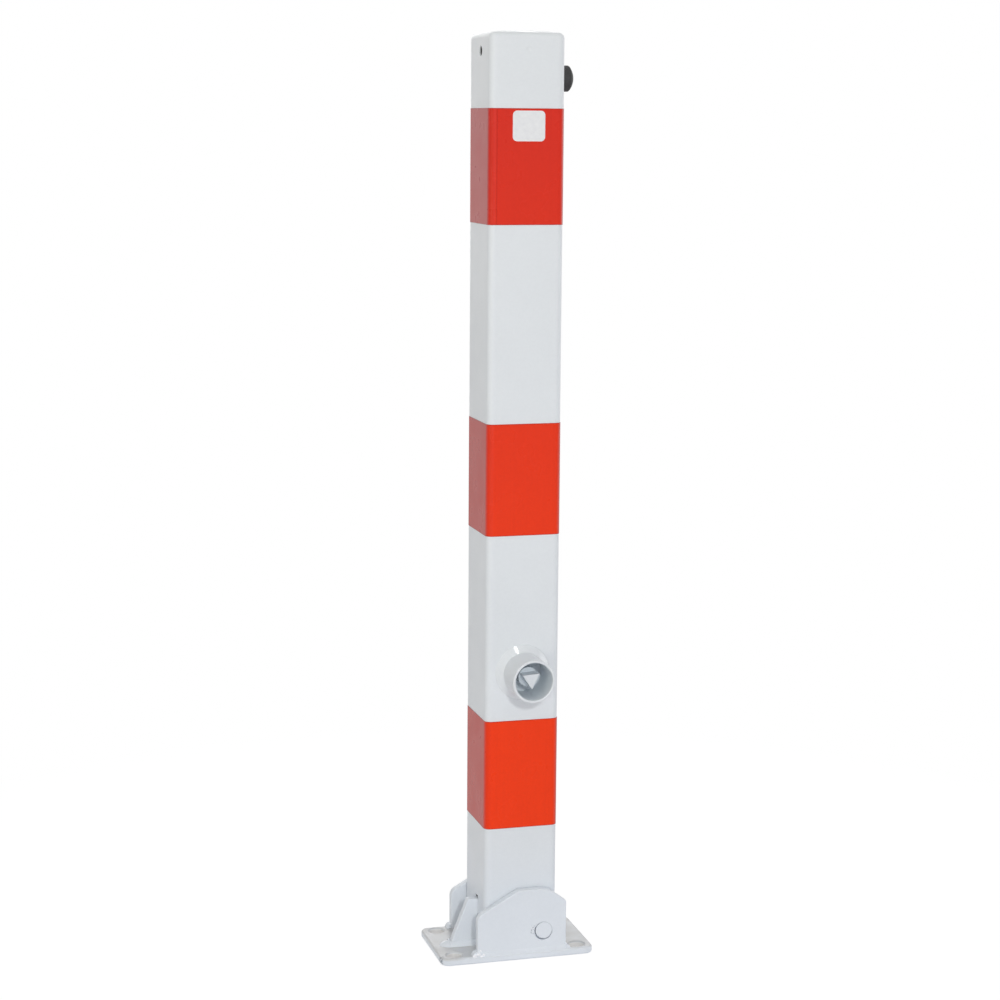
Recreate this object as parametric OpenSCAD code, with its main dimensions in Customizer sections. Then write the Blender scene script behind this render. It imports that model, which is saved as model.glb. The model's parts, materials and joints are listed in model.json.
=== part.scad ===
// Fold-down bollard: a square steel post that swings on a hinge pin between two ears.
// A key turns the spindle in the collar, and the spindle's crank moves a lock bar
// inside the post into a notch of the keeper plate.
// X points the way the post folds, Y away from the collar, Z up from the ground.
// The origin is the centre of the base plate's underside.

/* [Post] */
// Outer width of the square post tube
post_w = 70; // [66:1:76]
// Wall of the post tube
post_wall = 3; // [2.5:0.5:4]
// Outer corner radius of the post tube
post_corner = 6; // [6:0.5:8]
// Height of the post's top above the ground
post_top = 858; // [840:1:1000]
// Distance of the post's axis from the middle of the base plate
post_x = 4; // [2:0.5:9]
// Height of the welded top cap at its crown
cap_t = 8.5; // [8:0.5:10]
// Thickness of the top cap between its hollow and its edge's top
cap_wall = 3; // [2:0.5:4]
// Rounding of the top cap's upper edges
cap_edge = 5.5; // [1:0.5:5.5]
// Rise of the top cap from its edges to its middle
cap_crown = 2.4; // [1.5:0.1:3]
// Diameter of the vent hole in the left wall
vent_d = 9; // [4:0.5:10]
// Distance of the vent hole below the post's top
vent_drop = 18.5; // [14:0.5:30]
// Distance of the vent hole in front of the post's axis
vent_forward = 3.5; // [0:0.5:6]

/* [Reflective bands] */
// Height of each reflective band
band_h = 103; // [80:1:120]
// Thickness of the reflective film
film_t = 0.3; // [0.2:0.1:0.5]
// Lower edge of the bottom band above the ground
bottom_band_z = 126.5; // [115:0.5:130]
// White gap between the middle band and the top band
band_gap = 179.5; // [150:0.5:200]
// Distance of the top band's upper edge below the post's top
top_band_drop = 69; // [62:0.5:90]

/* [Base] */
// Length of the base plate along the folding direction
plate_l = 148; // [142:1:170]
// Depth of the base plate across the folding direction
plate_d = 90; // [88:1:110]
// Thickness of the base plate
plate_t = 7; // [6:0.5:12]
// Corner radius of the base plate
plate_corner = 8; // [5:0.5:14]
// Rounding of the base plate's upper and lower edges
plate_edge = 2; // [0.5:0.5:2.5]
// Distance of the fixing holes from the plate's left and right ends
hole_inset_x = 14; // [11:0.5:15]
// Distance of the fixing holes from the plate's front and rear edges
hole_inset_y = 11; // [11:0.5:15]
// Diameter of the fixing holes
hole_d = 14; // [9:0.5:14]
// Chamfer at the mouth of each fixing hole
hole_chamfer = 1.5; // [0.5:0.5:2]

/* [Ears] */
// Thickness of each ear
ear_t = 7.5; // [6:0.5:8]
// Gap between each ear and the post
ear_gap = 1.5; // [0.6:0.1:2]
// Reach of the front ear to the left of the post's axis
ear_left = 44; // [43:0.5:48]
// Reach of the rear ear to the left of the post's axis
rear_left = 49; // [46:0.5:50]
// How far the rear ear's slanted edge lies to the left of the front ear's
rear_shift = 2.5; // [0:0.5:4]
// Reach of the ears to the right of the post's axis
ear_right = 42.5; // [40:0.5:44]
// Height of the ears above the base plate
ear_h = 60.5; // [55:0.1:75]
// Slope of the ears' slanted left edge
ear_slope = 29.4; // [26:0.1:32]
// Where the slanted edge meets the flat top, left of the post's axis
slant_end = 4.5; // [3:0.5:12]
// Rounding of the ears' left shoulder
shoulder_r = 9; // [2:0.5:12]
// Radius of the bend that closes the ears' top on the right
crown_r = 25; // [20:1:26]
// Distance of the bend's centre from the ears' right edge
crown_inset = 26.5; // [25.5:0.5:30]
// Slope of the short straight edge right of the bend
crown_slope = 37; // [30:1:42]
// Leg of the weld beads at the ends of the ears
ear_weld = 4.5; // [3:0.5:5]

/* [Hinge] */
// Diameter of the hinge pin
pin_d = 16; // [14:0.5:18]
// Height of the hinge pin above the base plate
pin_h = 20; // [18:0.5:22]
// Distance of the hinge pin from the post's right face
pin_inset = 14.5; // [14.5:0.5:17]
// Wall of the pivot sleeve welded in the post
sleeve_wall = 3; // [2:0.5:3]
// Radial running clearance of the hinge pin in its sleeve
pin_fit = 0.05; // [0.02:0.01:0.09]
// Diameter of the pocket round each end of the hinge pin
pocket_d = 17.6; // [16.5:0.1:19]
// Depth of the pocket
pocket_depth = 5; // [1:0.5:6]
// How far the pocket lies off the pin, towards the lower left
pocket_shift = 0.5; // [0:0.1:1]

/* [Keeper plate] */
// Thickness of the keeper plate
keeper_t = 8; // [6:0.5:12]
// Distance of the keeper plate and the lock bar in front of the post's axis
keeper_forward = 6; // [5:0.5:7]
// Height of the keeper plate above the base plate
keeper_h = 44.3; // [40:0.1:50]
// Reach of the keeper plate's foot to the left of the post's axis
keeper_foot = 61.8; // [58:0.1:66]
// Reach of the keeper plate's top edge to the left of the post's axis
keeper_head = 44.4; // [42:0.1:50]
// Gap between the keeper plate and the slot in the post
slot_gap = 0.5; // [0.4:0.1:1]
// Gap between the keeper plate's top and the slot's top
slot_head = 3; // [2:0.5:6]
// Leg of the weld beads along the keeper plate
keeper_weld_leg = 4.5; // [3:0.5:5]

/* [Collar and spindle] */
// Height of the lock spindle above the ground
lock_z = 275; // [265:1:290]
// Outer diameter of the collar
collar_d = 40; // [38:1:46]
// Wall of the collar
collar_wall = 2.5; // [2:0.5:3]
// Rounding of the collar's mouth
collar_rim = 1; // [0.4:0.1:1]
// How far the collar stands out of the post's front face
collar_reach = 39; // [34:1:44]
// Leg of the weld bead round the collar
collar_weld_leg = 6; // [3:0.5:6]
// Diameter of the lock spindle
spindle_d = 18; // [16:0.5:18]
// Wall of the spindle's bush
bush_wall = 5; // [4:0.5:5]
// How far the bush stands out of the post's front face
bush_front = 2; // [1:0.5:5]
// How far the bush reaches into the post behind its front face
bush_depth = 14; // [11:0.5:15]
// Side of the spindle's triangular end
tri_side = 16; // [13:0.5:16]
// Length of the spindle's triangular end
tri_l = 12; // [9:0.5:14]
// Depth of the spindle's end inside the collar's mouth
tri_inset = 9.5; // [6:0.5:11]
// Turn of the triangle's lower corner away from straight down
tri_turn = 4; // [0:1:20]
// Radial running clearance of the spindle in its bush
spindle_fit = 0.05; // [0.02:0.01:0.09]

/* [Lock] */
// Distance of the crank pin from the spindle's axis
crank_r = 12; // [10:0.5:12]
// Diameter of the crank pin
crank_pin_d = 8; // [6:0.5:8]
// Thickness of the crank arm
crank_t = 7; // [5:0.5:8]
// Width of the lock bar
bar_w = 14; // [12:0.5:15]
// Thickness of the lock bar
bar_t = 10; // [8:0.5:12]
// Distance of the lock bar's tongue to the left of the post's axis
bar_offset = 13; // [12:0.5:14]
// Gap between the unlocked bar's tip and the keeper plate's top
bar_lift = 2.5; // [2:0.5:4]
// Sliding gap round the lock bar in its guides and in the keeper plate's notch
bar_gap = 0.5; // [0.4:0.1:0.8]
// Depth of the keeper plate's notch
notch_depth = 18; // [17:0.5:22]
// Thickness of the bar guides
guide_t = 5; // [4:0.5:8]
// Distance of the upper guide below the spindle's axis
upper_guide_drop = 45; // [42:1:60]
// Distance of the lower guide above the keeper plate
lower_guide_lift = 24.5; // [20:0.5:40]

/* [Buffer] */
// Diameter of the rubber buffer
buffer_d = 23.5; // [20:0.5:30]
// How far the buffer stands out of the post's right face
buffer_h = 17.2; // [14:0.1:18]
// Distance of the buffer's axis below the post's top
buffer_drop = 42; // [34:0.5:50]
// Radius of the buffer's domed face
dome_r = 17.5; // [16:0.5:24]
// Diameter of the buffer's stud
stud_d = 8; // [6:1:8]
// How far the stud reaches into the post
stud_in = 14; // [12:0.5:17]
// Length of the rivet nut that takes the stud
nut_l = 17; // [14:0.5:20]

/* [Hidden] */
$fn = 96;
white = "#e4e7e8";
film_red = "#d23a24";
steel = "#9aa0a6";
black = "#2b2b2b";
over = 1;
half_post = post_w / 2;
inner_w = post_w - 2 * post_wall;
inner_corner = post_corner - post_wall;
cap_z = post_top - cap_t;
top_band_z = post_top - top_band_drop - band_h;
middle_band_z = top_band_z - band_gap - band_h;
hole_pitch_x = plate_l - 2 * hole_inset_x;
hole_pitch_y = plate_d - 2 * hole_inset_y;
bead_sink = 0.5;
foot_gap = 0.3;
foot_z = plate_t + foot_gap;
ear_in = half_post + ear_gap;
ear_out = ear_in + ear_t;
ear_x0 = post_x - ear_left;
rear_x0 = post_x - rear_left;
ear_x1 = post_x + ear_right;
crown_x = post_x + ear_right - crown_inset;
crown_z = plate_t + ear_h - crown_r;
pin_x = post_x + half_post - pin_inset;
pin_z = plate_t + pin_h;
sleeve_d = pin_d + 2 * pin_fit + 2 * sleeve_wall;
sleeve_side_gap = 0.4;
keeper_z = plate_t + keeper_h;
keeper_prong = 7.5;
keeper_weld_stop = 2;
keeper_y = -keeper_forward;
bar_x = post_x - bar_offset;
notch_w = bar_w + 2 * bar_gap;
keeper_x1 = bar_x + notch_w / 2 + keeper_prong;
collar_mouth_y = -half_post - collar_reach;
tri_y = collar_mouth_y + tri_inset;
tri_back_y = tri_y + tri_l;
bush_d = spindle_d + 2 * bush_wall;
bush_y0 = -half_post - bush_front;
bush_y1 = -half_post + bush_depth;
play = 0.1;
washer_t = 0.9;
washer_w = 4;
arm_y0 = bush_y1 + play + washer_t;
arm_y1 = arm_y0 + crank_t;
spigot_d = 12;
boss_wall = 6;
lug_wall = 3;
clip_t = 1.5;
clip_w = 3;
clip_groove = 0.8;
clip_groove_d = spindle_d - 2 * clip_groove;
crank_rest = 135;
slot_gap_z = 0.7;
slot_gap_x = 0.3;
head_wall = 4;
head_rise = 7;
pin_end = 1;
guide_cut = 14;
crank_pin_x = post_x + crank_r * cos(crank_rest);
crank_pin_z = lock_z + crank_r * sin(crank_rest);
bar_tip_z = keeper_z + bar_lift;
head_half_h = crank_pin_d / 2 + head_rise;
upper_guide_z = lock_z - upper_guide_drop;
lower_guide_z = keeper_z + lower_guide_lift;
buffer_z = post_top - buffer_drop;
right_face = post_x + half_post;
stud_plate_d = buffer_d - 4;
stud_plate_t = 2;
stud_head = 4;
nut_wall = 1.5;
nut_bulge = 2;
nut_bulge_l = 2.5;

// Flat outline of a rectangle with round corners, centred
module rounded_rect(l, w, r) {
    square([l - 2 * r, w], center = true);
    square([l, w - 2 * r], center = true);
    for (sx = [-1, 1], sy = [-1, 1])
        translate([sx * (l / 2 - r), sy * (w / 2 - r)]) circle(r);
}

// Extrudes an outline drawn in X and Z from y0 to y1
module along_y(y0, y1) {
    translate([0, y1, 0]) rotate([90, 0, 0]) linear_extrude(y1 - y0) children();
}

// Extrudes an outline drawn in Y and Z from x0 to x1
module along_x(x0, x1) {
    translate([x0, 0, 0]) rotate([90, 0, 90]) linear_extrude(x1 - x0) children();
}

// Round bar along Y at one place in X and Z
module bar_y(x, z, d, y0, y1) {
    translate([x, y1, z]) rotate([90, 0, 0]) cylinder(d = d, h = y1 - y0);
}

// Round bar along X at one height
module bar_across(z, d, x0, x1) {
    translate([x0, 0, z]) rotate([0, 90, 0]) cylinder(d = d, h = x1 - x0);
}

// Flat plate with round corners and rounded upper and lower edges, standing on z = 0
module soft_plate(l, d, t, r, e) {
    along_x(r - l / 2, l / 2 - r) translate([0, t / 2]) rounded_rect(d, t, e);
    along_y(r - d / 2, d / 2 - r) translate([0, t / 2]) rounded_rect(l, t, e);
    for (sx = [-1, 1], sy = [-1, 1])
        translate([sx * (l / 2 - r), sy * (d / 2 - r), 0]) rotate_extrude() intersection() {
            translate([0, t / 2]) rounded_rect(2 * r, t, e);
            square([r, t]);
        }
}

module base_plate() {
    mouth_d = hole_d + 2 * (hole_chamfer + over);
    color(white) difference() {
        soft_plate(plate_l, plate_d, plate_t, plate_corner, plate_edge);
        for (sx = [-1, 1], sy = [-1, 1])
            translate([sx * hole_pitch_x / 2, sy * hole_pitch_y / 2, 0]) {
                translate([0, 0, -over]) cylinder(d = hole_d, h = plate_t + 2 * over);
                translate([0, 0, plate_t - hole_chamfer])
                    cylinder(d1 = hole_d, d2 = mouth_d, h = hole_chamfer + over);
            }
    }
}

// Outline of an ear from its left end x0: a rounded shoulder, a slanted edge that ends
// at slant_x, a flat top, and on the right a bend with a short straight edge
module ear_outline(x0, slant_x) {
    tangent = shoulder_r * tan((90 - ear_slope) / 2);
    top_z = plate_t + ear_h;
    shoulder_z = top_z - (slant_x - x0) * tan(ear_slope);
    bend_x = crown_x + crown_r * sin(crown_slope);
    bend_z = crown_z + crown_r * cos(crown_slope);
    polygon([
        [x0, plate_t],
        [ear_x1, plate_t],
        [ear_x1, bend_z - (ear_x1 - bend_x) * tan(crown_slope)],
        [bend_x, bend_z],
        [crown_x, top_z],
        [slant_x, top_z],
        [x0 + tangent * cos(ear_slope), shoulder_z + tangent * sin(ear_slope)],
        [x0 + shoulder_r, shoulder_z - tangent],
        [x0, shoulder_z - tangent]
    ]);
    translate([x0 + shoulder_r, shoulder_z - tangent]) circle(shoulder_r);
    translate([crown_x, crown_z]) circle(crown_r);
}

// Bores an ear between two depths for the hinge pin and pockets it at its outer face
module bored(y0, y1, pocket_y0, pocket_y1) {
    color(white) difference() {
        along_y(y0, y1) children();
        bar_y(pin_x, pin_z, pin_d, y0 - over, y1 + over);
        bar_y(pin_x - pocket_shift, pin_z - pocket_shift, pocket_d, pocket_y0, pocket_y1);
    }
}

module front_ear() {
    bored(-ear_out, -ear_in, -ear_out - over, -ear_out + pocket_depth)
        ear_outline(ear_x0, post_x - slant_end);
}

// The rear ear stands a little further left than the front one
module rear_ear() {
    bored(ear_in, ear_out, ear_out - pocket_depth, ear_out + over)
        ear_outline(rear_x0, post_x - slant_end - rear_shift);
}

// Outline of a weld bead in the corner between two faces, full and round,
// with its corner at the origin and its legs along +X and +Y
module bead_outline(leg) {
    sink = bead_sink * leg;
    intersection() {
        square(leg);
        translate([-sink, -sink]) circle(sqrt(pow(leg + sink, 2) + pow(sink, 2)));
    }
}

module ear_end_welds() {
    color(white) for (side = [-1, 1]) {
        y0 = side < 0 ? -ear_out : ear_in;
        x0 = side < 0 ? ear_x0 : rear_x0;
        along_y(y0, y0 + ear_t) translate([ear_x1, plate_t]) bead_outline(ear_weld);
        along_y(y0, y0 + ear_t) translate([x0, plate_t]) mirror([1, 0]) bead_outline(ear_weld);
    }
}

// The keeper plate stands a little in front of the middle line and reaches into the post
module keeper_plate() {
    color(white) difference() {
        along_y(keeper_y - keeper_t / 2, keeper_y + keeper_t / 2) polygon([
            [post_x - keeper_foot, plate_t],
            [keeper_x1, plate_t],
            [keeper_x1, keeper_z],
            [post_x - keeper_head, keeper_z]
        ]);
        translate([bar_x - notch_w / 2, keeper_y - keeper_t / 2 - over, keeper_z - notch_depth])
            cube([notch_w, keeper_t + 2 * over, notch_depth + over]);
    }
}

module keeper_weld() {
    x0 = post_x - keeper_foot;
    x1 = post_x - half_post - keeper_weld_stop;
    color(white) translate([0, keeper_y, 0]) for (side = [0, 1])
        mirror([0, side, 0]) along_x(x0, x1)
            translate([keeper_t / 2, plate_t]) bead_outline(keeper_weld_leg);
}

module hinge_pin() {
    color(white) bar_y(pin_x, pin_z, pin_d, -ear_out, ear_out);
}

// Takes away the post's lower right corner, so that it turns clear of the base plate
module heel_cut() {
    heel_r = pin_z - foot_z;
    difference() {
        translate([pin_x, -half_post - over, plate_t - over])
            cube([post_w, post_w + 2 * over, pin_z - plate_t + over]);
        bar_y(pin_x, pin_z, 2 * heel_r, -half_post - 2 * over, half_post + 2 * over);
    }
}

module post_tube() {
    color(white) difference() {
        translate([post_x, 0, foot_z]) linear_extrude(cap_z - foot_z) difference() {
            rounded_rect(post_w, post_w, post_corner);
            rounded_rect(inner_w, inner_w, inner_corner);
        }
        heel_cut();
        translate([post_x - half_post - over, keeper_y - keeper_t / 2 - slot_gap, plate_t - over])
            cube([post_wall + 2 * over, keeper_t + 2 * slot_gap, keeper_h + slot_head + over]);
        translate([0, -vent_forward, 0])
            bar_across(post_top - vent_drop, vent_d, post_x - half_post - over, post_x);
        bar_across(buffer_z, stud_d + 2 * nut_wall, post_x, right_face + over);
        bar_y(post_x, lock_z, bush_d, -half_post - over, 0);
        bar_y(pin_x, pin_z, sleeve_d, -half_post - over, half_post + over);
    }
}

// Square cap with a hollow underside. Its rounded edge runs smoothly into a low pillow,
// which is an arch seen from the front and the same arch seen from the side.
module top_cap() {
    flat = half_post - cap_edge;
    edge_z = cap_t - cap_crown;
    centre_drop = (pow(flat, 2) + pow(cap_crown, 2)) / (2 * cap_crown);
    arch_r = centre_drop + cap_edge;
    arch_x = arch_r * flat / centre_drop;
    color(white) translate([post_x, 0, cap_z]) difference() {
        union() {
            translate([0, 0, edge_z - post_w]) soft_plate(post_w, post_w, post_w, post_corner, cap_edge);
            intersection() {
                along_y(-arch_x, arch_x) arch(arch_x, arch_r, cap_t);
                along_x(-arch_x, arch_x) arch(arch_x, arch_r, cap_t);
            }
        }
        translate([-post_w, -post_w, -post_w]) cube([2 * post_w, 2 * post_w, post_w]);
        translate([0, 0, -over]) linear_extrude(edge_z - cap_wall + over)
            rounded_rect(inner_w, inner_w, inner_corner);
    }
}

// Outline of a low arch of half width x, radius r and crown height top
module arch(x, r, top) {
    intersection() {
        translate([-x, 0]) square([2 * x, top]);
        translate([0, top - r]) circle(r, $fn = 240);
    }
}

// One turn of reflective film round the post
module band(z) {
    color(film_red) translate([post_x, 0, z]) linear_extrude(band_h) difference() {
        rounded_rect(post_w + 2 * film_t, post_w + 2 * film_t, post_corner + film_t);
        rounded_rect(post_w, post_w, post_corner);
    }
}

module top_band() {
    band(top_band_z);
}

module middle_band() {
    band(middle_band_z);
}

module bottom_band() {
    band(bottom_band_z);
}

// Stands a turned outline, drawn as radius and length, on the post's right face
module on_right_face(z) {
    translate([right_face, 0, z]) rotate([0, 90, 0]) rotate_extrude() children();
}

module rubber_buffer() {
    color(black) on_right_face(buffer_z) difference() {
        intersection() {
            square([buffer_d / 2, buffer_h]);
            translate([0, buffer_h - dome_r]) circle(dome_r);
        }
        translate([-over, -over]) square([stud_plate_d / 2 + over, stud_plate_t + over]);
        translate([-over, 0]) square([stud_d / 2 + over, stud_plate_t + stud_head]);
    }
}

// Threaded stud bonded into the buffer, with its round plate
module buffer_stud() {
    color(steel) on_right_face(buffer_z) union() {
        square([stud_plate_d / 2, stud_plate_t]);
        translate([0, -stud_in]) square([stud_d / 2, stud_in + stud_plate_t + stud_head]);
    }
}

// Blind rivet nut in the post's right wall: a sleeve with its upset collar inside
module rivet_nut() {
    color(steel) on_right_face(buffer_z) union() {
        translate([stud_d / 2, -nut_l]) square([nut_wall, nut_l]);
        translate([stud_d / 2 + nut_wall, -post_wall - nut_bulge_l]) square([nut_bulge, nut_bulge_l]);
    }
}

// Turned outline round the spindle's axis, drawn as radius and distance from the front
module round_lock(y) {
    translate([post_x, y, lock_z]) rotate([-90, 0, 0]) rotate_extrude() children();
}

module lock_collar() {
    color(white) round_lock(collar_mouth_y) {
        translate([collar_d / 2 - collar_wall, collar_wall])
            square([collar_wall, collar_reach - collar_wall]);
        translate([(collar_d - collar_wall) / 2, collar_wall])
            rounded_rect(collar_wall, 2 * collar_wall, collar_rim);
    }
}

module collar_weld() {
    color(white) translate([post_x, -half_post, lock_z]) rotate([90, 0, 0]) rotate_extrude()
        translate([collar_d / 2, 0]) bead_outline(collar_weld_leg);
}

module spindle_bush() {
    color(white) round_lock(bush_y0)
        translate([spindle_d / 2 + spindle_fit, 0])
            square([bush_d / 2 - spindle_d / 2 - spindle_fit, bush_y1 - bush_y0]);
}

module pivot_sleeve() {
    sleeve_half = ear_in - sleeve_side_gap;
    color(steel) difference() {
        bar_y(pin_x, pin_z, sleeve_d, -sleeve_half, sleeve_half);
        bar_y(pin_x, pin_z, pin_d + 2 * pin_fit, -sleeve_half - over, sleeve_half + over);
    }
}

// Cross plate in the post with a window for the lock bar and its corners cut off
module guide(z) {
    h = inner_w / 2;
    c = h - guide_cut;
    color(steel) translate([0, 0, z]) linear_extrude(guide_t) difference() {
        translate([post_x, 0]) polygon([
            [h, -c], [h, c], [c, h], [-c, h],
            [-h, c], [-h, -c], [-c, -h], [c, -h]
        ]);
        translate([bar_x, keeper_y]) square([notch_w, bar_t + 2 * bar_gap], center = true);
    }
}

module upper_guide() {
    guide(upper_guide_z);
}

module lower_guide() {
    guide(lower_guide_z);
}

// Spindle: three flats milled on its front end, a ring groove, and a spigot for the arm
module lock_spindle() {
    color(white) {
        along_y(tri_y, tri_back_y) translate([post_x, lock_z]) intersection() {
            rotate(270 + tri_turn) circle(tri_side / sqrt(3), $fn = 3);
            circle(d = spindle_d);
        }
        round_lock(tri_back_y) difference() {
            square([spindle_d / 2, arm_y0 - tri_back_y]);
            translate([clip_groove_d / 2, bush_y0 - play - clip_t - tri_back_y]) square([spindle_d, clip_t]);
        }
        bar_y(post_x, lock_z, spigot_d, arm_y0, arm_y1);
    }
}

module spindle_clip() {
    color(white) round_lock(bush_y0 - play - clip_t)
        translate([clip_groove_d / 2, 0]) square([clip_w, clip_t]);
}

module friction_washer() {
    color(steel) round_lock(arm_y0 - washer_t)
        translate([spindle_d / 2, 0]) square([washer_w, washer_t]);
}

// Arm on the spindle's inner end, a round boss and a round lug on one web
module crank_arm() {
    lug_r = crank_pin_d / 2 + lug_wall;
    color(steel) difference() {
        along_y(arm_y0, arm_y1) translate([post_x, lock_z]) rotate(crank_rest) {
            circle(d = spigot_d + 2 * boss_wall);
            translate([crank_r, 0]) circle(r = lug_r);
            translate([0, -lug_r]) square([crank_r, 2 * lug_r]);
        }
        bar_y(post_x, lock_z, spigot_d, arm_y0 - over, arm_y1 + over);
        bar_y(crank_pin_x, crank_pin_z, crank_pin_d, arm_y0 - over, arm_y1 + over);
    }
}

module crank_pin() {
    color(steel) bar_y(crank_pin_x, crank_pin_z, crank_pin_d, arm_y0, keeper_y + bar_t / 2 + pin_end);
}

// Lock bar: a head with a cross slot for the crank pin, and a long tongue
module lock_bar() {
    slot_x0 = post_x - crank_r - slot_gap_x;
    slot_x1 = crank_pin_x + slot_gap_x;
    slot_h = crank_pin_d + 2 * slot_gap_z;
    head_x0 = min(bar_x - bar_w / 2, slot_x0 - slot_h / 2 - head_wall);
    head_x1 = slot_x1 + slot_h / 2 + head_wall;
    color(steel) along_y(keeper_y - bar_t / 2, keeper_y + bar_t / 2) difference() {
        union() {
            translate([bar_x - bar_w / 2, bar_tip_z]) square([bar_w, crank_pin_z - bar_tip_z]);
            translate([head_x0, crank_pin_z - head_half_h]) square([head_x1 - head_x0, 2 * head_half_h]);
        }
        translate([slot_x0, crank_pin_z]) circle(d = slot_h);
        translate([slot_x1, crank_pin_z]) circle(d = slot_h);
        translate([slot_x0, crank_pin_z - slot_h / 2]) square([slot_x1 - slot_x0, slot_h]);
    }
}

base_plate();
front_ear();
rear_ear();
keeper_plate();
ear_end_welds();
keeper_weld();
hinge_pin();
post_tube();
top_cap();
top_band();
middle_band();
bottom_band();
rubber_buffer();
buffer_stud();
rivet_nut();
lock_collar();
collar_weld();
spindle_bush();
pivot_sleeve();
upper_guide();
lower_guide();
lock_spindle();
spindle_clip();
friction_washer();
crank_arm();
crank_pin();
lock_bar();
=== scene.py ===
# %% [markdown]
# # A fold-down bollard in white powder coat
# A square steel post stands between two ears on a base plate and folds down about a hinge pin.
# Three bands of red reflective film go round it, and a round collar holds the triangular end
# of its lock. The frame gives every piece its place and size. This lesson adds the finish:
# softened plate edges, weld beads, paint, film, rubber and zinc.

# %% Load the frame
import json
import math

import bmesh
import bpy
from mathutils import Matrix, Vector, noise


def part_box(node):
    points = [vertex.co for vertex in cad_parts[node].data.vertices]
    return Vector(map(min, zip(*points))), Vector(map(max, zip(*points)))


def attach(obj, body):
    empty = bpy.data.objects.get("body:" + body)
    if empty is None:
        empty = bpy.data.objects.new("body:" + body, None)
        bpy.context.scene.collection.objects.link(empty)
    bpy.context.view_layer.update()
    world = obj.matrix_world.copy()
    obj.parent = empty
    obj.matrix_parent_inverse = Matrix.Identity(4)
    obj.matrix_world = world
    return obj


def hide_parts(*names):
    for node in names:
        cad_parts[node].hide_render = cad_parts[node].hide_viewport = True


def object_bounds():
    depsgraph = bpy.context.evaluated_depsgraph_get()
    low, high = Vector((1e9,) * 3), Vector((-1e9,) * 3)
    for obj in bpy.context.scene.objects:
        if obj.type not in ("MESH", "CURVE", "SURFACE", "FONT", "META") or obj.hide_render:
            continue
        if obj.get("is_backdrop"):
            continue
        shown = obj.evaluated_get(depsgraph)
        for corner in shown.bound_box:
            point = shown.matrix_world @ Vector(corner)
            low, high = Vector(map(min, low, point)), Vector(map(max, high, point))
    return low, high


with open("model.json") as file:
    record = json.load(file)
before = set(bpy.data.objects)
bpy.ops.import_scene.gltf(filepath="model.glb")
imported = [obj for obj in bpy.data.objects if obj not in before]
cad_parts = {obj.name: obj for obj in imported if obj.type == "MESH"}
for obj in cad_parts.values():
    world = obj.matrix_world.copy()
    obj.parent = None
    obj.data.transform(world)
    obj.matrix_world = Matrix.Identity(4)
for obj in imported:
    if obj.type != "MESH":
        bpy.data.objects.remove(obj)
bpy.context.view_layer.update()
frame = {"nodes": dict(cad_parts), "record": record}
nodes = frame["nodes"]
MM = 0.001

# %% [markdown]
# ## The camera
# The photographer stood a little over two metres away, to the front left, with the lens at
# about the height of the red top band and tilted down by some nine degrees. A long lens of
# 83 mm keeps the post's edges nearly parallel. A camera could be aimed with a constraint, but
# three angles and a point are plainer, and they can be compared with the picture one by one.

# %% Stand the camera
IMAGE_PX = 1000
FOCAL_PX = 2303.3
CAMERA_AT = Vector((-0.5774, -2.0273, 0.7780))
YAW = math.radians(15.659)
PITCH = math.radians(9.352)
ROLL = math.radians(-0.420)


def camera_turn(yaw, pitch, roll):
    """The camera's turn: yaw to the right of +Y, pitch down, then roll about the line of sight."""
    ahead = Vector((math.sin(yaw) * math.cos(pitch), math.cos(yaw) * math.cos(pitch), -math.sin(pitch)))
    level = Vector((math.cos(yaw), -math.sin(yaw), 0))
    down = ahead.cross(level)
    right = level * math.cos(roll) + down * math.sin(roll)
    up = level * math.sin(roll) - down * math.cos(roll)
    return Matrix((right, up, -ahead)).transposed().to_4x4()


camera_data = bpy.data.cameras.new("camera")
camera_data.sensor_width = 36
camera_data.lens = camera_data.sensor_width * FOCAL_PX / IMAGE_PX
camera_data.clip_start = 0.05
camera_data.clip_end = 60
camera = bpy.data.objects.new("camera", camera_data)
camera.matrix_world = Matrix.Translation(CAMERA_AT) @ camera_turn(YAW, PITCH, ROLL)
bpy.context.scene.collection.objects.link(camera)
bpy.context.scene.camera = camera
bpy.context.scene.view_settings.view_transform = "Standard"
print("lens", round(camera_data.lens, 2), "mm")

# %% [markdown]
# ## Light
# The picture was taken in a white studio: one small bright lamp in front and above, large
# soft ones around it, and bounced light from everywhere else. The shadow below the lock's
# collar tells where the small lamp is, because it falls some 15 mm for the collar's reach of
# 39 mm, and its edge is crisp. One big lamp would be simpler, but it would blur that edge
# away, so a small area lamp six metres away and broad fills share the work, a grey world does
# the rest, and a tiny lamp overhead is there only for the bright line on the collar's weld.

# %% Light the scene
scene = bpy.context.scene
post_middle = Vector((0.004, 0, 0.43))
PLAIN_LIGHT = (1.0, 1.0, 1.0)


def area_lamp(name, direction, distance, size, power, colour):
    """A square soft lamp that looks at the middle of the post from a direction."""
    data = bpy.data.lights.new(name, "AREA")
    data.shape = "SQUARE"
    data.size = size
    data.energy = power
    data.color = colour
    lamp = bpy.data.objects.new(name, data)
    away = Vector(direction).normalized()
    lamp.location = post_middle + away * distance
    lamp.rotation_mode = "QUATERNION"
    lamp.rotation_quaternion = away.to_track_quat("Z", "Y")
    scene.collection.objects.link(lamp)


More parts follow.
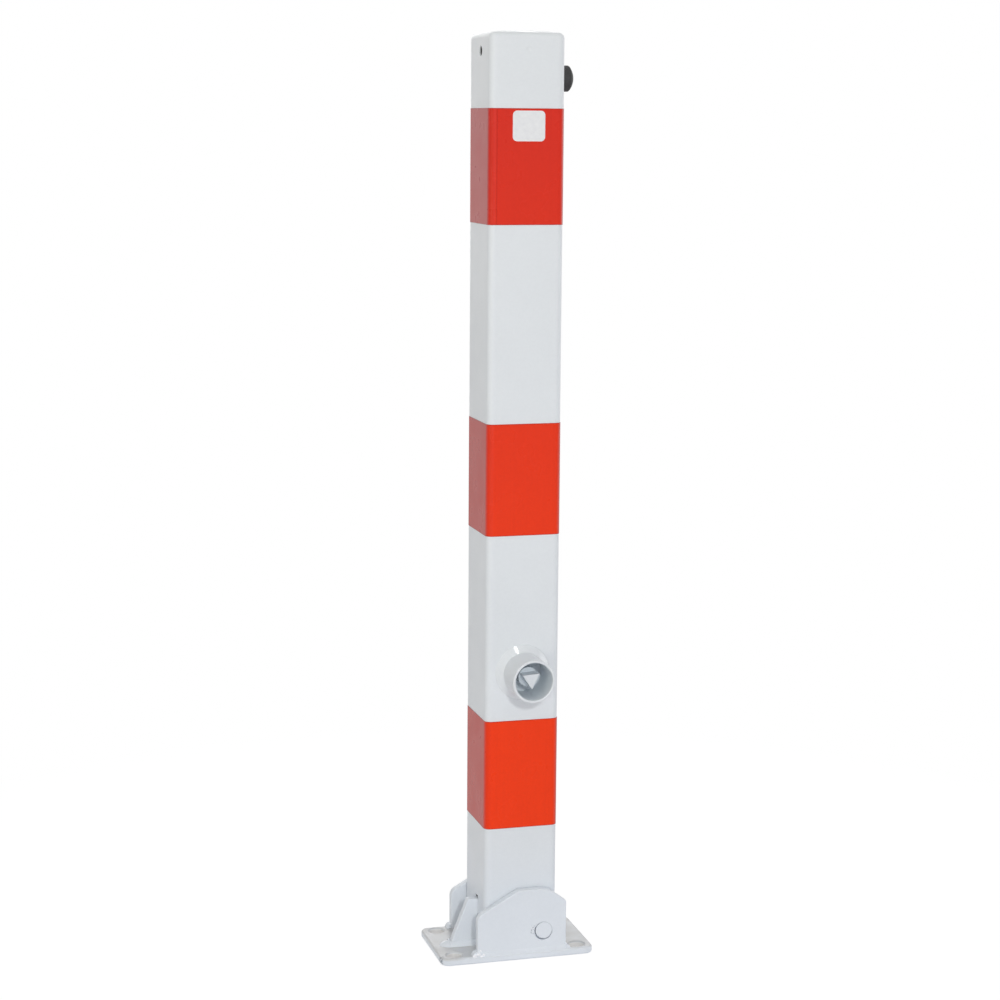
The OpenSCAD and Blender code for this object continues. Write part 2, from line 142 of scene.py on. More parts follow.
area_lamp("front_lamp", (-0.110, -0.938, 0.347), 6.0, 0.4, 83, (0.99, 1.0, 0.98))
area_lamp("front_fill", (-0.20, -0.97, -0.08), 2.4, 1.6, 7, (0.95, 1.0, 1.12))
area_lamp("left_lamp", (-0.80, -0.60, -0.12), 3.0, 1.6, 16.5, (1.0, 0.96, 0.74))
area_lamp("right_lamp", (1.0, 0.25, 0.15), 3.0, 1.6, 13, PLAIN_LIGHT)
area_lamp("back_lamp", (0.1, 1.0, 0.25), 3.0, 1.6, 13, PLAIN_LIGHT)
area_lamp("ceiling_lamp", (-0.115, -0.306, 0.946), 2.6, 0.12, 4, PLAIN_LIGHT)

# %% [markdown]
# ## White surroundings
# The background is plain white. More light would bleach the paint, so the world shows white
# only to rays from the camera and to reflections, and lights the bollard as a grey room would.
# A Light Path node tells these rays apart.

# %% Build the world
WORLD_LIGHT = 0.46


def is_seen(tree):
    """A factor that is 1 for rays from the camera, for reflections and for what shows through glass."""
    path = tree.nodes.new("ShaderNodeLightPath")
    total = None
    for name in ("Is Camera Ray", "Is Glossy Ray", "Is Transmission Ray"):
        if total is None:
            total = path.outputs[name]
            continue
        add = tree.nodes.new("ShaderNodeMath")
        add.operation = "MAXIMUM"
        tree.links.new(total, add.inputs[0])
        tree.links.new(path.outputs[name], add.inputs[1])
        total = add.outputs[0]
    return total


world = bpy.data.worlds.new("studio")
scene.world = world
world.use_nodes = True
sky = world.node_tree
sky.nodes.clear()
sky_out = sky.nodes.new("ShaderNodeOutputWorld")
sky_mix = sky.nodes.new("ShaderNodeMixShader")
room = sky.nodes.new("ShaderNodeBackground")
room.inputs["Color"].default_value = (0.98, 0.99, 1.0, 1)
room.inputs["Strength"].default_value = WORLD_LIGHT
paper = sky.nodes.new("ShaderNodeBackground")
paper.inputs["Color"].default_value = (1.0, 1.0, 1.0, 1)
paper.inputs["Strength"].default_value = 1.0
sky.links.new(is_seen(sky), sky_mix.inputs["Fac"])
sky.links.new(room.outputs[0], sky_mix.inputs[1])
sky.links.new(paper.outputs[0], sky_mix.inputs[2])
sky.links.new(sky_mix.outputs[0], sky_out.inputs["Surface"])
print("world light", WORLD_LIGHT)

# %% [markdown]
# ## A white floor that keeps the shadow
# The floor is white to the camera in the same way. Near the base plate it is part matt and
# part glowing: where the lamps reach it, both add up to white, and where the plate shades it,
# a soft grey is left. Further out it only glows, so that its far edge melts into the world.

# %% Build the floor
FLOOR_HALF = 8.0
FLOOR_GLOW = 0.83
FLOOR_MATT = 0.30
FLOOR_BOUNCE = (0.78, 0.78, 0.82, 1)
SHADOW_REACH = 0.20
GLOW_REACH = 0.80
floor_bm = bmesh.new()
bmesh.ops.create_grid(floor_bm, x_segments=1, y_segments=1, size=FLOOR_HALF)
bmesh.ops.translate(floor_bm, verts=floor_bm.verts, vec=(0, 0, -0.2 * MM))
floor_mesh = bpy.data.meshes.new("floor")
floor_bm.to_mesh(floor_mesh)
floor_bm.free()
floor = bpy.data.objects.new("floor", floor_mesh)
scene.collection.objects.link(floor)
floor_mat = bpy.data.materials.new("studio_floor")
floor_mat.use_nodes = True
tree = floor_mat.node_tree
tree.nodes.clear()
floor_out = tree.nodes.new("ShaderNodeOutputMaterial")
plain = tree.nodes.new("ShaderNodeBsdfDiffuse")
plain.inputs["Color"].default_value = FLOOR_BOUNCE
matt = tree.nodes.new("ShaderNodeBsdfDiffuse")
matt.inputs["Color"].default_value = (FLOOR_MATT, FLOOR_MATT, FLOOR_MATT, 1)
glow = tree.nodes.new("ShaderNodeEmission")
glow.inputs["Strength"].default_value = FLOOR_GLOW
both = tree.nodes.new("ShaderNodeAddShader")
white = tree.nodes.new("ShaderNodeEmission")
white.inputs["Strength"].default_value = 1.0
place = tree.nodes.new("ShaderNodeTexCoord")
reach = tree.nodes.new("ShaderNodeVectorMath")
reach.operation = "LENGTH"
fade = tree.nodes.new("ShaderNodeMapRange")
fade.inputs["From Min"].default_value = SHADOW_REACH
fade.inputs["From Max"].default_value = GLOW_REACH
near_far = tree.nodes.new("ShaderNodeMixShader")
final = tree.nodes.new("ShaderNodeMixShader")
tree.links.new(matt.outputs[0], both.inputs[0])
tree.links.new(glow.outputs[0], both.inputs[1])
tree.links.new(place.outputs["Object"], reach.inputs[0])
tree.links.new(reach.outputs["Value"], fade.inputs["Value"])
tree.links.new(fade.outputs[0], near_far.inputs["Fac"])
tree.links.new(both.outputs[0], near_far.inputs[1])
tree.links.new(white.outputs[0], near_far.inputs[2])
tree.links.new(is_seen(tree), final.inputs["Fac"])
tree.links.new(plain.outputs[0], final.inputs[1])
tree.links.new(near_far.outputs[0], final.inputs[2])
tree.links.new(final.outputs[0], floor_out.inputs["Surface"])
floor_mesh.materials.append(floor_mat)
floor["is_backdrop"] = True
print("floor", 2 * FLOOR_HALF, "m wide")

# %% [markdown]
# ## Tools for materials
# Every finish here is made of the same few moves: noise at a real scale, a step between two
# values, a mix of two colours and a bump. Small functions for them keep each finish short.
# All of them read object coordinates, which are metres in the frame, so a noise scale of 300
# is a grain of about 3 mm on every piece alike.

# %% Helpers for node materials


class Finish:
    """A material with one Principled shader, and short ways to wire patterns into it."""

    def __init__(self, name, roughness, specular=0.5, metallic=0.0):
        self.mat = bpy.data.materials.new(name)
        self.mat.use_nodes = True
        self.tree = self.mat.node_tree
        self.tree.nodes.clear()
        self.out = self.tree.nodes.new("ShaderNodeOutputMaterial")
        self.skin = self.tree.nodes.new("ShaderNodeBsdfPrincipled")
        self.skin.inputs["Roughness"].default_value = roughness
        self.skin.inputs["Specular IOR Level"].default_value = specular
        self.skin.inputs["Metallic"].default_value = metallic
        self.tree.links.new(self.skin.outputs[0], self.out.inputs["Surface"])
        self.place = self.tree.nodes.new("ShaderNodeTexCoord").outputs["Object"]

    def link(self, source, target):
        """Joins two sockets, or sets the target if the source is a plain value."""
        if isinstance(source, bpy.types.NodeSocket):
            self.tree.links.new(source, target)
        else:
            target.default_value = source

    def stretch(self, scale):
        """Object coordinates scaled by three factors, for streaks."""
        node = self.tree.nodes.new("ShaderNodeMapping")
        node.inputs["Scale"].default_value = scale
        self.link(self.place, node.inputs["Vector"])
        return node.outputs["Vector"]

    def noise(self, scale, detail=3.0, where=None):
        """Noise from 0 to 1 with a grain of about one over scale metres."""
        node = self.tree.nodes.new("ShaderNodeTexNoise")
        node.inputs["Scale"].default_value = scale
        node.inputs["Detail"].default_value = detail
        self.link(where or self.place, node.inputs["Vector"])
        return node.outputs["Fac"]

    def remap(self, value, low, high, to_low, to_high):
        """value between low and high, moved to the range to_low to to_high and clamped."""
        node = self.tree.nodes.new("ShaderNodeMapRange")
        keys = ("From Min", "From Max", "To Min", "To Max")
        for key, number in zip(keys, (low, high, to_low, to_high)):
            node.inputs[key].default_value = number
        self.link(value, node.inputs["Value"])
        return node.outputs[0]

    def maths(self, operation, a, b=0.0):
        """One Math node."""
        node = self.tree.nodes.new("ShaderNodeMath")
        node.operation = operation
        self.link(a, node.inputs[0])
        self.link(b, node.inputs[1])
        return node.outputs[0]

    def axes(self):
        """The X, Y and Z of object coordinates."""
        node = self.tree.nodes.new("ShaderNodeSeparateXYZ")
        self.link(self.place, node.inputs[0])
        return node.outputs

    def distance(self, point):
        """Distance from a point in the frame."""
        node = self.tree.nodes.new("ShaderNodeVectorMath")
        node.operation = "DISTANCE"
        self.link(self.place, node.inputs[0])
        node.inputs[1].default_value = point
        return node.outputs["Value"]

    def mix(self, factor, a, b):
        """A colour between a and b."""
        node = self.tree.nodes.new("ShaderNodeMix")
        node.data_type = "RGBA"
        self.link(factor, node.inputs[0])
        for source, socket in ((a, node.inputs[6]), (b, node.inputs[7])):
            if isinstance(source, bpy.types.NodeSocket):
                self.link(source, socket)
            else:
                socket.default_value = (*source, 1)
        return node.outputs[2]

    def colour(self, source):
        """Wires the base colour."""
        self.link(source, self.skin.inputs["Base Color"])

    def rough(self, source):
        """Wires the roughness."""
        self.link(source, self.skin.inputs["Roughness"])

    def bump(self, height, distance, strength=1.0, under=None):
        """A bump whose full height is distance metres, over another bump if one is given."""
        node = self.tree.nodes.new("ShaderNodeBump")
        node.inputs["Distance"].default_value = distance
        node.inputs["Strength"].default_value = strength
        self.link(height, node.inputs["Height"])
        if under is not None:
            self.link(under, node.inputs["Normal"])
        return node.outputs["Normal"]

    def relief(self, normal):
        """Wires the last bump into the shader."""
        self.link(normal, self.skin.inputs["Normal"])


print("material helpers are ready")

# %% [markdown]
# ## White powder coat
# The post is powder coated: a thick semi-gloss white with the faint skin of an orange. A flat
# white would look like plastic, so the colour drifts by a few per cent over a hand's width,
# the gloss varies, and a fine bump of 3 mm waves breaks up the highlights. Towards the ground
# the coat is painted a little bluer, as painted light bounced up from the floor. A small dimple
# shows in the front face near the top, where a punch mark lies under the paint. The powder gets
# only a finger's width into the open foot of the tube, so further in dark mill steel starts
# 1 mm below its skin. A rough tack by the hinge pin has lost some specks of paint, and so has
# a corner of the base plate where it was knocked. Inside the collar the coat is painted darker
# and bluer the deeper it lies, as painted shade. The base plate's upper side carries a painted
# grey shade, darker at the right and lighter on the rim in front of its ear, and the walls of
# its holes are painted paler, as painted light. Each of these is a mask on one mix, which is
# plainer than a separate painted map for every piece.

# %% Masks for worn and thin places
COAT_PALE = (0.816, 0.836, 0.848)
COAT_DEEP = (0.773, 0.792, 0.806)
FLOOR_LIGHT_PALE = (0.812, 0.848, 0.898)
FLOOR_LIGHT_DEEP = (0.768, 0.806, 0.856)
COLLAR_PAINTED_SHADE = (0.75, 0.80, 0.84)
LOST_COAT = (0.11, 0.14, 0.19)
MILL_PALE = (0.095, 0.092, 0.088)
MILL_DEEP = (0.045, 0.042, 0.039)
TOP_SHADE_LEFT = (0.605, 0.603, 0.600)
TOP_SHADE_RIGHT = (0.530, 0.527, 0.520)
HOLE_PAINTED_LIGHT = (0.88, 0.865, 0.845)
TUBE_CORNER = 6 * MM
TUBE_SKIN = 1.0 * MM
SPINDLE_RADIUS = 9.4 * MM
SPINDLE_STEP = 9 * MM
HOLE_X, HOLE_Y, HOLE_RADIUS = 60 * MM, 34 * MM, 7 * MM
post_low, post_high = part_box("post_tube")
collar_low, collar_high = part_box("lock_collar")
collar_axis = Vector(((collar_low.x + collar_high.x) / 2, 0, (collar_low.z + collar_high.z) / 2))
COLLAR_RADIUS = (collar_high.x - collar_low.x) / 2
plate_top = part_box("base_plate")[1].z
ear_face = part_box("front_ear")[0].y


def painted_shade_in_lock(f, x, y, z):
    """A factor for painted shade that grows with the depth inside the collar.

    The spindle's end stands further out than the wall round it, so it counts as less deep.
    """
    off = [f.maths("SUBTRACT", a, m) for a, m in ((x, collar_axis.x), (z, collar_axis.z))]
    square = f.maths("ADD", *(f.maths("MULTIPLY", a, a) for a in off))
    inside = f.maths("LESS_THAN", square, (COLLAR_RADIUS - 1 * MM) ** 2)
    core = f.maths("LESS_THAN", square, SPINDLE_RADIUS ** 2)
    step = f.maths("MULTIPLY", core, SPINDLE_STEP)
    depth = f.maths("SUBTRACT", f.maths("SUBTRACT", y, collar_low.y), step)
    in_front = f.maths("LESS_THAN", y, post_low.y + 10 * MM)
    in_lock = f.maths("MULTIPLY", inside, in_front)
    return f.maths("MULTIPLY", in_lock, f.remap(depth, 1 * MM, 6 * MM, 0.0, 1.0))


def bare_in_tube(f, x, y, z, low, high):
    """A factor that is 1 inside a round-cornered tube, past the sprayed foot."""
    middle = (low + high) / 2
    straight = (high.x - low.x) / 2 - TUBE_CORNER
    over = []
    for a, m in ((x, middle.x), (y, middle.y)):
        off = f.maths("ABSOLUTE", f.maths("SUBTRACT", a, m))
        past = f.maths("MAXIMUM", f.maths("SUBTRACT", off, straight), 0.0)
        over.append(f.maths("MULTIPLY", past, past))
    from_core = f.maths("SQRT", f.maths("ADD", *over))
    bare = f.maths("LESS_THAN", from_core, TUBE_CORNER - TUBE_SKIN)
    past_spray = f.remap(z, low.z + 9 * MM, low.z + 20 * MM, 0.0, 1.0)
    return f.maths("MULTIPLY", bare, past_spray)


def with_painted_top_shade(f, x, y, z, paint):
    """Paint with a painted grey shade on the plate's upper side, less of it on its front rim, and painted
    light on the walls of its holes.
    """
    lying = f.remap(z, plate_top - 2.5 * MM, plate_top - 0.5 * MM, 0.0, 1.0)
    patchy = f.remap(f.noise(55.0, 5.0), 0.25, 0.65, 0.55, 1.0)
    behind_rim = f.remap(y, ear_face, ear_face + 3 * MM, 0.25, 1.0)
    left_end = f.remap(x, -60 * MM, -48 * MM, 1.0, 0.0)
    kept = f.maths("MAXIMUM", behind_rim, left_end)
    share = f.maths("MULTIPLY", f.maths("MULTIPLY", patchy, kept), lying)
    # Painted shade: the plate's upper side is painted grey, darker towards the right.
    top_shade = f.mix(f.remap(x, -20 * MM, 45 * MM, 0.0, 1.0), TOP_SHADE_LEFT, TOP_SHADE_RIGHT)
    top_shaded_paint = f.mix(share, paint, top_shade)
    # Painted light: the walls of the fixing holes are painted paler and warmer than the coat.
    off_x = f.maths("SUBTRACT", f.maths("ABSOLUTE", x), HOLE_X)
    off_y = f.maths("SUBTRACT", f.maths("ABSOLUTE", y), HOLE_Y)
    square = f.maths("ADD", f.maths("MULTIPLY", off_x, off_x), f.maths("MULTIPLY", off_y, off_y))
    in_hole = f.maths("LESS_THAN", f.maths("SQRT", square), HOLE_RADIUS + 0.1 * MM)
    return f.mix(in_hole, top_shaded_paint, HOLE_PAINTED_LIGHT)


print("collar radius", round(COLLAR_RADIUS * 1000, 2), "mm, plate top at", round(plate_top * 1000, 2), "mm")

# %% [markdown]
# ## The coat itself
# One function mixes every white coat, so that all of them share a colour and a grain. Its
# arguments switch the masks on where a piece needs them, and set the height of the skin and
# the gloss, because the paint lies rougher on a weld and smoother on the collar's bead.

# %% Mix the powder coats


def powder_coat(
    name, peel=0.05, dimple=None, tube=None, chips=None, chipped=0.54, top_shaded=False, gloss=0.34, shine=0.30,
):
    """White powder coat with painted light from the floor that makes it a little bluer towards the ground.

    peel is the height of the orange skin in millimetres, dimple a punch mark's place, tube the
    low and high corner of a tube that is bare further in, and chips the place where specks of
    paint are lost, more of them the lower chipped is. The switch for the base plate adds a
    painted grey shade to its upper side. gloss is the roughness, and shine the strength of the reflection.
    """
    f = Finish(name, gloss, specular=shine)
    x, y, z = f.axes()
    drift = f.noise(9.0, 4.0)
    speck = f.noise(420.0, 2.0)
    blend = f.maths("ADD", f.maths("MULTIPLY", drift, 0.75), f.maths("MULTIPLY", speck, 0.25))
    # Painted light: the coat turns bluer towards the ground, as if lit from the floor.
    at_foot = f.remap(z, 0.055, 0.110, 0.6, 0.0)
    up_post = f.remap(z, 0.11, 0.85, 0.4, 0.0)
    painted_floor_light = f.maths("ADD", at_foot, up_post)
    deep = f.mix(painted_floor_light, COAT_DEEP, FLOOR_LIGHT_DEEP)
    pale = f.mix(painted_floor_light, COAT_PALE, FLOOR_LIGHT_PALE)
    paint = f.mix(f.remap(blend, 0.36, 0.64, 0.0, 1.0), deep, pale)
    if tube is not None:
        mill = f.mix(f.remap(f.noise(90.0, 4.0), 0.35, 0.65, 0.0, 1.0), MILL_DEEP, MILL_PALE)
        paint = f.mix(bare_in_tube(f, x, y, z, *tube), paint, mill)
    # Painted shade: inside the collar the coat turns darker and bluer with depth.
    paint = f.mix(painted_shade_in_lock(f, x, y, z), paint, COLLAR_PAINTED_SHADE)
    if top_shaded:
        paint = with_painted_top_shade(f, x, y, z, paint)
    skin = f.bump(f.noise(330.0, 1.5), peel * MM, 0.6)
    if chips is not None:
        near = f.remap(f.distance(chips), 2 * MM, 6 * MM, 1.0, 0.0)
        crumbs = f.noise(650.0, 2.0)
        lost = f.maths("MULTIPLY", near, f.remap(crumbs, chipped, chipped + 0.08, 0.0, 1.0))
        paint = f.mix(lost, paint, LOST_COAT)
        skin = f.bump(f.maths("MULTIPLY", near, crumbs), 0.9 * MM, 1.0, skin)
    f.colour(paint)
    f.rough(f.remap(f.noise(60.0), 0.3, 0.7, gloss - 0.06, gloss + 0.06))
    skin = f.bump(f.noise(45.0, 2.0), 0.25 * MM, 0.35, skin)
    if dimple is not None:
        pit = f.remap(f.distance(dimple), 0.8 * MM, 3.2 * MM, 0.0, 1.0)
        skin = f.bump(pit, 0.35 * MM, 1.0, skin)
    f.relief(skin)
    return f.mat


dimple_at = (0.0047, post_low.y, 0.8407)
tack_at = (0.0160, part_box("front_ear")[0].y, 0.0285)
knock_at = (-0.0750, -0.0370, 0.0035)
coat = powder_coat("powder_coat")
post_coat = powder_coat("post_powder_coat", dimple=dimple_at, tube=(post_low, post_high))
ear_coat = powder_coat("ear_powder_coat", chips=tack_at)
# The base plate's coat carries the painted grey shade on its upper side.
base_coat = powder_coat("base_powder_coat", chips=knock_at, chipped=0.46, top_shaded=True)
weld_coat = powder_coat("weld_powder_coat", peel=0.12, gloss=0.22)
glossy_coat = powder_coat("glossy_powder_coat", peel=0.02, gloss=0.13, shine=0.55)
white_coats = (coat, post_coat, ear_coat, base_coat, weld_coat, glossy_coat)
print("powder coats:", *(m.name for m in white_coats))

# %% [markdown]
# ## Red reflective film
# The bands are adhesive film with a layer of tiny beads. Seen square on it is a glowing
# orange red, and seen at a low angle the beads send nothing back, so it turns a dull pink
# under its gloss. That second look is a gloss effect, so it is a dark glossy lobe that a
# Layer Weight brings in at low angles. The red is painted brighter towards the foot of the
# post and a shade deeper at its top, as painted light from the beads, and painted deeper on
# the left side, as painted shade where the band turns away. Its cut edges are darker, and the
# top band shows the lap where its two ends meet.

# %% Mix the film
FILM_SHADED_TOP = (0.735, 0.031, 0.016)
FILM_LIT_FOOT = (1.0, 0.053, 0.007)
FILM_DEEP_TONE_AND_SHADE = (0.45, 0.012, 0.008)
CUT_EDGE = (0.16, 0.006, 0.006)
LAP_LINE = (0.20, 0.008, 0.008)
GREY_LOBE = (0.300, 0.186, 0.186, 1)
FILM_EDGE = 0.9 * MM


def film(name, node, lap_x=None):
    """Reflective film on one band node, with darker cut edges and a lap line if one is given."""
    f = Finish(name, 0.30, specular=0.16)
    low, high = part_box(node)
    x, y, z = f.axes()
    # Painted light: the red is brighter towards the foot and deeper at the top.
    height = f.remap(z, 0.28, 0.80, 0.0, 1.0)
    red = f.mix(height, FILM_LIT_FOOT, FILM_SHADED_TOP)
    grain = f.noise(520.0, 3.0)
    cloud = f.noise(34.0, 3.0)
    streak = f.noise(1.0, 4.0, f.stretch((420.0, 420.0, 5.0)))
    tone = f.maths("ADD", f.maths("MULTIPLY", grain, 0.45), f.maths("MULTIPLY", cloud, 0.25))
    tone = f.maths("ADD", tone, f.maths("MULTIPLY", streak, 0.30))
    red = f.mix(f.remap(tone, 0.30, 0.70, 0.0, 0.16), red, FILM_DEEP_TONE_AND_SHADE)
    to_edge = f.maths("MINIMUM", f.maths("SUBTRACT", z, low.z), f.maths("SUBTRACT", high.z, z))
    red = f.mix(f.remap(to_edge, 0.0, FILM_EDGE, 0.55, 0.0), red, CUT_EDGE)
    # Painted shade: the left side of the band is painted deeper. The same deep red also gives the film's
    # random tone.
    left_side_shade = f.remap(x, low.x + 1 * MM, low.x + 6 * MM, 0.22, 0.0)
    red = f.mix(left_side_shade, red, FILM_DEEP_TONE_AND_SHADE)
    if lap_x is not None:
        away = f.maths("ABSOLUTE", f.maths("SUBTRACT", x, lap_x))
        line = f.remap(away, 0.25 * MM, 0.8 * MM, 0.22, 0.0)
        in_front = f.maths("LESS_THAN", y, low.y + 3 * MM)
        red = f.mix(f.maths("MULTIPLY", line, in_front), red, LAP_LINE)
    f.colour(red)
    f.rough(f.remap(cloud, 0.3, 0.7, 0.24, 0.36))
    f.relief(f.bump(grain, 0.02 * MM, 0.5))
    lobe = f.tree.nodes.new("ShaderNodeBsdfGlossy")
    lobe.inputs["Color"].default_value = GREY_LOBE
    lobe.inputs["Roughness"].default_value = 0.35
    facing = f.tree.nodes.new("ShaderNodeLayerWeight")
    facing.inputs["Blend"].default_value = 0.5
    share = f.remap(facing.outputs["Facing"], 0.18, 0.78, 0.0, 0.55)
    both_lobes = f.tree.nodes.new("ShaderNodeMixShader")
    f.link(share, both_lobes.inputs["Fac"])
    f.link(f.skin.outputs[0], both_lobes.inputs[1])
    f.link(lobe.outputs[0], both_lobes.inputs[2])
    f.link(both_lobes.outputs[0], f.out.inputs["Surface"])
    return f.mat


band_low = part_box("top_band")[0]
films = {
    "top_band": film("film_top", "top_band", lap_x=post_low.x + 6.9 * MM),
    "middle_band": film("film_middle", "middle_band"),
    "bottom_band": film("film_bottom", "bottom_band"),
}
print("films for", sorted(films))

# %% [markdown]
# ## Rubber and zinc
# The buffer is moulded black rubber, matt with a grey bloom and fine pits. The lock's inner
# pieces are zinc plated steel: a metal whose colour and gloss change in soft patches, with
# fine drawn lines along the bar.

# %% Mix the rubber and the zinc
RUBBER_PALE = (0.047, 0.047, 0.048)
RUBBER_DEEP = (0.024, 0.024, 0.025)
ZINC_PALE = (0.62, 0.63, 0.65)
ZINC_DEEP = (0.42, 0.43, 0.45)


def black_rubber(name):
    """Moulded rubber with a grey bloom and pits."""
    f = Finish(name, 0.62, specular=0.4)
    bloom = f.noise(140.0, 5.0)
    f.colour(f.mix(f.remap(bloom, 0.35, 0.70, 0.0, 1.0), RUBBER_DEEP, RUBBER_PALE))
    f.rough(f.remap(bloom, 0.3, 0.7, 0.50, 0.72))
    f.relief(f.bump(f.noise(900.0, 3.0), 0.05 * MM, 0.6))
    return f.mat


def zinc(name, drawn=(1.0, 1.0, 1.0)):
    """Zinc plate on steel. drawn stretches the fine lines along an axis."""
    f = Finish(name, 0.38, metallic=0.9)
    patch = f.noise(70.0, 4.0)
    f.colour(f.mix(f.remap(patch, 0.3, 0.7, 0.0, 1.0), ZINC_DEEP, ZINC_PALE))
    f.rough(f.remap(f.noise(160.0, 4.0), 0.3, 0.7, 0.28, 0.50))
    lines = f.noise(1.0, 3.0, f.stretch([700.0 * d for d in drawn]))
    f.relief(f.bump(lines, 0.03 * MM, 0.5))
    return f.mat


rubber = black_rubber("black_rubber")
zinc_plain = zinc("zinc_plate")
zinc_bar = zinc("zinc_drawn_bar", drawn=(1.0, 1.0, 0.03))
print("rubber and zinc are mixed")

# %% [markdown]
# ## Give each node its finish
# Painted pieces and plated pieces are told apart by the record's material slot, so the
# frame's own table does the sorting. The bands, the post and the bar have their own mixes.

# %% Dress the nodes
slot_of = {s["node"]: s["material_slot"] for s in frame["record"]["subparts"]}
by_slot = {"white_coat": coat, "red_film": films["top_band"], "rubber": rubber, "zinc_steel": zinc_plain}
own = {"post_tube": post_coat, "base_plate": base_coat, "lock_bar": zinc_bar, **films}
own |= {"front_ear": ear_coat, "ear_end_welds": weld_coat, "keeper_weld": weld_coat}
for name, node in nodes.items():
    finish = own.get(name, by_slot[slot_of[name]])
    node.data.materials.clear()
    node.data.materials.append(finish)
print("dressed", len(nodes), "nodes")

# %% [markdown]
# ## Softened plates
# The ears and the keeper plate are cut from sheet of about 8 mm, and grinding and powder coat
# round their edges by about a millimetre. The frame's plates have sharp edges, and their mesh
# is loose triangles, so a copy is merged, its flat faces are joined, and only the edges that
# turn by more than 35 degrees are bevelled. The copy stands for the node. The spindle, the
# pin's head and the buffer are softened in the same way.

# %% Round the edges of a copied node
SHARP = math.radians(35)
FLAT = math.radians(0.6)
SAME_POINT = 1e-6


def finish_piece(bm, name, body, mat, crease=40):
    """Turns a bmesh into a piece that rides on a body, with smooth faces and creased sharp edges."""
    bmesh.ops.recalc_face_normals(bm, faces=bm.faces)
    for face in bm.faces:
        face.smooth = True
    for edge in bm.edges:
        edge.smooth = not edge.is_manifold or edge.calc_face_angle(0) < math.radians(crease)
    mesh = bpy.data.meshes.new(name)
    bm.to_mesh(mesh)
    bm.free()
    mesh.materials.append(mat)
    piece = bpy.data.objects.new(name, mesh)
    scene.collection.objects.link(piece)
    weights = piece.modifiers.new("even_normals", "WEIGHTED_NORMAL")
    weights.keep_sharp = True
    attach(piece, body)
    return piece


def soft_copy(node, name, body, mat, radius, segments=3, keep=None):
    """A merged copy of a node with its sharp edges rounded. It stands for the node.

    keep tells of an edge's middle whether that edge stays sharp.
    """
    bm = bmesh.new()
    bm.from_mesh(nodes[node].data)
    bmesh.ops.remove_doubles(bm, verts=bm.verts, dist=SAME_POINT)
    bmesh.ops.dissolve_limit(bm, angle_limit=FLAT, verts=bm.verts, edges=bm.edges)
    sharp = [e for e in bm.edges if e.is_manifold and e.calc_face_angle(0) > SHARP]
    if keep is not None:
        sharp = [e for e in sharp if not keep((e.verts[0].co + e.verts[1].co) / 2)]
    bmesh.ops.bevel(
        bm, geom=sharp, offset=radius, offset_type="OFFSET", segments=segments, profile=0.5,
        affect="EDGES", clamp_overlap=True, material=-1,
    )
    piece = finish_piece(bm, name, body, mat)
    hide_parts(node)
    print(name, len(piece.data.polygons), "faces,", len(sharp), "edges rounded")
    return piece


pin_low, pin_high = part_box("hinge_pin")
pin_at = (pin_low + pin_high) / 2
BORE_MARGIN = 12 * MM


def ear_stays_sharp(place):
    """The pin's bore stays crisp, and so does the ear's foot."""
    to_pin = math.hypot(place.x - pin_at.x, place.z - pin_at.z)
    return to_pin < BORE_MARGIN or place.z < plate_top + 0.1 * MM


soft_copy("front_ear", "front_ear_plate", "base", ear_coat, 1.2 * MM, keep=ear_stays_sharp)
soft_copy("rear_ear", "rear_ear_plate", "base", coat, 1.2 * MM, keep=ear_stays_sharp)
soft_copy("keeper_plate", "keeper_plate_soft", "base", coat, 0.9 * MM)
soft_copy("lock_spindle", "spindle_soft", "spindle", coat, 0.8 * MM)
soft_copy("hinge_pin", "hinge_pin_soft", "base", coat, 0.35 * MM)
soft_copy("rubber_buffer", "rubber_buffer_soft", "post", rubber, 1.1 * MM, 4)

# %% [markdown]
# ## Weld beads
# The ears, the keeper plate and the collar are joined by beads laid by hand: full round
# ridges with a slow wander and fine ripples, all under paint. The frame has them as clean
# forms. Sculpting would do, but a swept profile whose points are then pushed along their
# normals by noise gives the same look and can be tuned. One sweep goes straight along an
# edge, one turns half round the keeper plate's end, where the bead has a broad nose, and one
# goes round the collar, and each new bead stands for the frame's own.

# %% Helpers for beads
RIPPLE_PITCH = 2.6 * MM
RIPPLE_HEIGHT = 0.10 * MM


def bead_profile(bm, across, up, corner, belly, points=9, root=0.8 * MM):
    """A closed wire: a round bulge between two toes, and a root inside the two walls.

    corner is where the walls meet, across and up are the legs as vectors, and belly is the
    bulge over the straight line between the toes.
    """
    out = (across + up).normalized()
    wire = []
    for i in range(points):
        t = i / (points - 1)
        place = corner + across * (1 - t) + up * t + out * belly * 4 * t * (1 - t)
        wire.append(bm.verts.new(place))
    wire.append(bm.verts.new(corner + up - across.normalized() * root))
    wire.append(bm.verts.new(corner - out * root))
    wire.append(bm.verts.new(corner + across - up.normalized() * root))
    edges = [bm.edges.new((wire[i], wire[(i + 1) % len(wire)])) for i in range(len(wire))]
    return wire + edges


def wander(bm, along, height, ripple, seed):
    """Pushes the points along their normals: a slow wander plus the ripples of the weld pool.

    along gives a point's distance along the bead, and seed shifts the noise.
    """
    bmesh.ops.recalc_face_normals(bm, faces=bm.faces)
    bm.normal_update()
    moves = []
    for v in bm.verts:
        broad = noise.noise(v.co * 130 + Vector((seed, 0, 0)))
        slow = broad + 0.5 * noise.noise(v.co * 330 + Vector((0, seed, 0)))
        scales = math.sin(2 * math.pi * along(v.co) / RIPPLE_PITCH + 2.5 * slow)
        moves.append(v.normal * (height * slow + ripple * scales))
    for v, move in zip(bm.verts, moves):
        v.co += move


